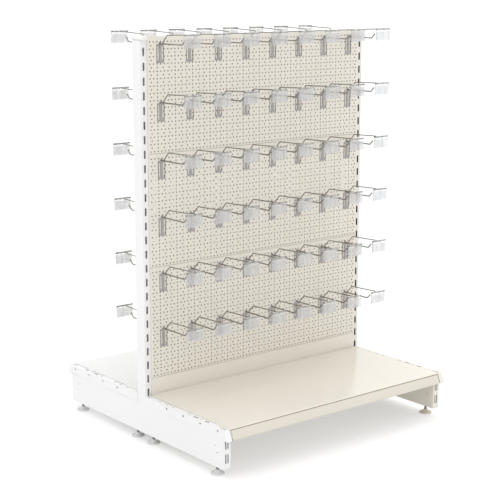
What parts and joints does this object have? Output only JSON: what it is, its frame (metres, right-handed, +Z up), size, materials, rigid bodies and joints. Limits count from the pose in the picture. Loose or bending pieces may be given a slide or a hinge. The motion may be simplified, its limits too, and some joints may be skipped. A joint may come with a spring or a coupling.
{
  "type": "pegboard display stand",
  "caption": "Double-sided steel shop gondola with perforated pegboard panels, base shelves, levelling feet, and rows of wire display hooks with swinging clear ticket holders.",
  "frame": {"origin": "on the floor, under the middle of the stand", "axes": "+Z up, +X along the bay to the right seen from the front, -Y to the front"},
  "size_m": [1.048, 1, 1.4476],
  "materials": {
    "cream_paint": "smooth powder coat, satin",
    "white_paint": "smooth powder coat, satin",
    "cap_plastic": "moulded, fine grain",
    "zinc_wire": "zinc plated wire and stamped plate",
    "clear_plastic": "clear moulded plastic, polished",
    "foot_plastic": "grey moulded pad on a plated stud"
  },
  "bodies": {
    "stand": {"upright_left": "white_paint", "upright_cap_left": "cap_plastic", "upright_right": "cream_paint", "upright_cap_right": "cap_plastic", "base_leg_front_left": "white_paint", "shelf_bracket_front_left": "white_paint", "base_leg_front_right": "cream_paint", "shelf_bracket_front_right": "cream_paint", "base_shelf_front": "cream_paint", "plain_panel_front": "cream_paint", "pegboard_front_bottom": "cream_paint", "pegboard_front_middle": "cream_paint", "pegboard_front_top": "cream_paint", "base_leg_rear_left": "white_paint", "shelf_bracket_rear_left": "white_paint", "base_leg_rear_right": "cream_paint", "shelf_bracket_rear_right": "cream_paint", "base_shelf_rear": "white_paint", "plain_panel_rear": "cream_paint", "pegboard_rear_bottom": "cream_paint", "pegboard_rear_middle": "cream_paint", "pegboard_rear_top": "cream_paint", "tie_rail_upper": "cream_paint", "tie_rail_lower": "cream_paint", "tie_rail_top": "cream_paint", "tie_beam_bottom": "cream_paint", "hook_row_front_1": "zinc_wire", "hook_row_front_2": "zinc_wire", "hook_row_front_3": "zinc_wire", "hook_row_front_4": "zinc_wire", "hook_row_front_5": "zinc_wire", "hook_row_front_6": "zinc_wire", "hook_row_rear_1": "zinc_wire", "hook_row_rear_2": "zinc_wire", "hook_row_rear_3": "zinc_wire", "hook_row_rear_4": "zinc_wire", "hook_row_rear_5": "zinc_wire", "hook_row_rear_6": "zinc_wire"},
    "foot_front_left_outer": {"levelling_foot_front_left_outer": "foot_plastic"},
    "foot_front_left_inner": {"levelling_foot_front_left_inner": "foot_plastic"},
    "foot_front_right_outer": {"levelling_foot_front_right_outer": "foot_plastic"},
    "foot_front_right_inner": {"levelling_foot_front_right_inner": "foot_plastic"},
    "foot_rear_left_outer": {"levelling_foot_rear_left_outer": "foot_plastic"},
    "foot_rear_left_inner": {"levelling_foot_rear_left_inner": "foot_plastic"},
    "foot_rear_right_outer": {"levelling_foot_rear_right_outer": "foot_plastic"},
    "foot_rear_right_inner": {"levelling_foot_rear_right_inner": "foot_plastic"},
    "tickets_front_1": {"ticket_row_front_1": "clear_plastic"},
    "tickets_front_2": {"ticket_row_front_2": "clear_plastic"},
    "tickets_front_3": {"ticket_row_front_3": "clear_plastic"},
    "tickets_front_4": {"ticket_row_front_4": "clear_plastic"},
    "tickets_front_5": {"ticket_row_front_5": "clear_plastic"},
    "tickets_front_6": {"ticket_row_front_6": "clear_plastic"},
    "tickets_rear_1": {"ticket_row_rear_1": "clear_plastic"},
    "tickets_rear_2": {"ticket_row_rear_2": "clear_plastic"},
    "tickets_rear_3": {"ticket_row_rear_3": "clear_plastic"},
    "tickets_rear_4": {"ticket_row_rear_4": "clear_plastic"},
    "tickets_rear_5": {"ticket_row_rear_5": "clear_plastic"},
    "tickets_rear_6": {"ticket_row_rear_6": "clear_plastic"}
  },
  "joints": [
    {"name": "foot_front_left_outer_height", "type": "slide", "parent": "stand", "child": "foot_front_left_outer", "axis": [0, 0, -1], "range_m": [-0.008, 0.015]},
    {"name": "foot_front_left_inner_height", "type": "slide", "parent": "stand", "child": "foot_front_left_inner", "axis": [0, 0, -1], "range_m": [-0.008, 0.015]},
    {"name": "foot_front_right_outer_height", "type": "slide", "parent": "stand", "child": "foot_front_right_outer", "axis": [0, 0, -1], "range_m": [-0.008, 0.015]},
    {"name": "foot_front_right_inner_height", "type": "slide", "parent": "stand", "child": "foot_front_right_inner", "axis": [0, 0, -1], "range_m": [-0.008, 0.015]},
    {"name": "foot_rear_left_outer_height", "type": "slide", "parent": "stand", "child": "foot_rear_left_outer", "axis": [0, 0, -1], "range_m": [-0.008, 0.015]},
    {"name": "foot_rear_left_inner_height", "type": "slide", "parent": "stand", "child": "foot_rear_left_inner", "axis": [0, 0, -1], "range_m": [-0.008, 0.015]},
    {"name": "foot_rear_right_outer_height", "type": "slide", "parent": "stand", "child": "foot_rear_right_outer", "axis": [0, 0, -1], "range_m": [-0.008, 0.015]},
    {"name": "foot_rear_right_inner_height", "type": "slide", "parent": "stand", "child": "foot_rear_right_inner", "axis": [0, 0, -1], "range_m": [-0.008, 0.015]},
    {"name": "tickets_front_1_flip", "type": "hinge", "parent": "stand", "child": "tickets_front_1", "pos_m": [0, -0.218, 1.444], "axis": [-1, 0, 0], "range_deg": [-35, 120]},
    {"name": "tickets_front_2_flip", "type": "hinge", "parent": "stand", "child": "tickets_front_2", "pos_m": [0, -0.218, 1.244], "axis": [-1, 0, 0], "range_deg": [-35, 120]},
    {"name": "tickets_front_3_flip", "type": "hinge", "parent": "stand", "child": "tickets_front_3", "pos_m": [0, -0.218, 1.044], "axis": [-1, 0, 0], "range_deg": [-35, 120]},
    {"name": "tickets_front_4_flip", "type": "hinge", "parent": "stand", "child": "tickets_front_4", "pos_m": [0, -0.218, 0.844], "axis": [-1, 0, 0], "range_deg": [-35, 120]},
    {"name": "tickets_front_5_flip", "type": "hinge", "parent": "stand", "child": "tickets_front_5", "pos_m": [0, -0.218, 0.644], "axis": [-1, 0, 0], "range_deg": [-35, 120]},
    {"name": "tickets_front_6_flip", "type": "hinge", "parent": "stand", "child": "tickets_front_6", "pos_m": [0, -0.218, 0.444], "axis": [-1, 0, 0], "range_deg": [-35, 120]},
    {"name": "tickets_rear_1_flip", "type": "hinge", "parent": "stand", "child": "tickets_rear_1", "pos_m": [0, 0.218, 1.444], "axis": [1, 0, 0], "range_deg": [-35, 120]},
    {"name": "tickets_rear_2_flip", "type": "hinge", "parent": "stand", "child": "tickets_rear_2", "pos_m": [0, 0.218, 1.244], "axis": [1, 0, 0], "range_deg": [-35, 120]},
    {"name": "tickets_rear_3_flip", "type": "hinge", "parent": "stand", "child": "tickets_rear_3", "pos_m": [0, 0.218, 1.044], "axis": [1, 0, 0], "range_deg": [-35, 120]},
    {"name": "tickets_rear_4_flip", "type": "hinge", "parent": "stand", "child": "tickets_rear_4", "pos_m": [0, 0.218, 0.844], "axis": [1, 0, 0], "range_deg": [-35, 120]},
    {"name": "tickets_rear_5_flip", "type": "hinge", "parent": "stand", "child": "tickets_rear_5", "pos_m": [0, 0.218, 0.644], "axis": [1, 0, 0], "range_deg": [-35, 120]},
    {"name": "tickets_rear_6_flip", "type": "hinge", "parent": "stand", "child": "tickets_rear_6", "pos_m": [0, 0.218, 0.444], "axis": [1, 0, 0], "range_deg": [-35, 120]}
  ]
}
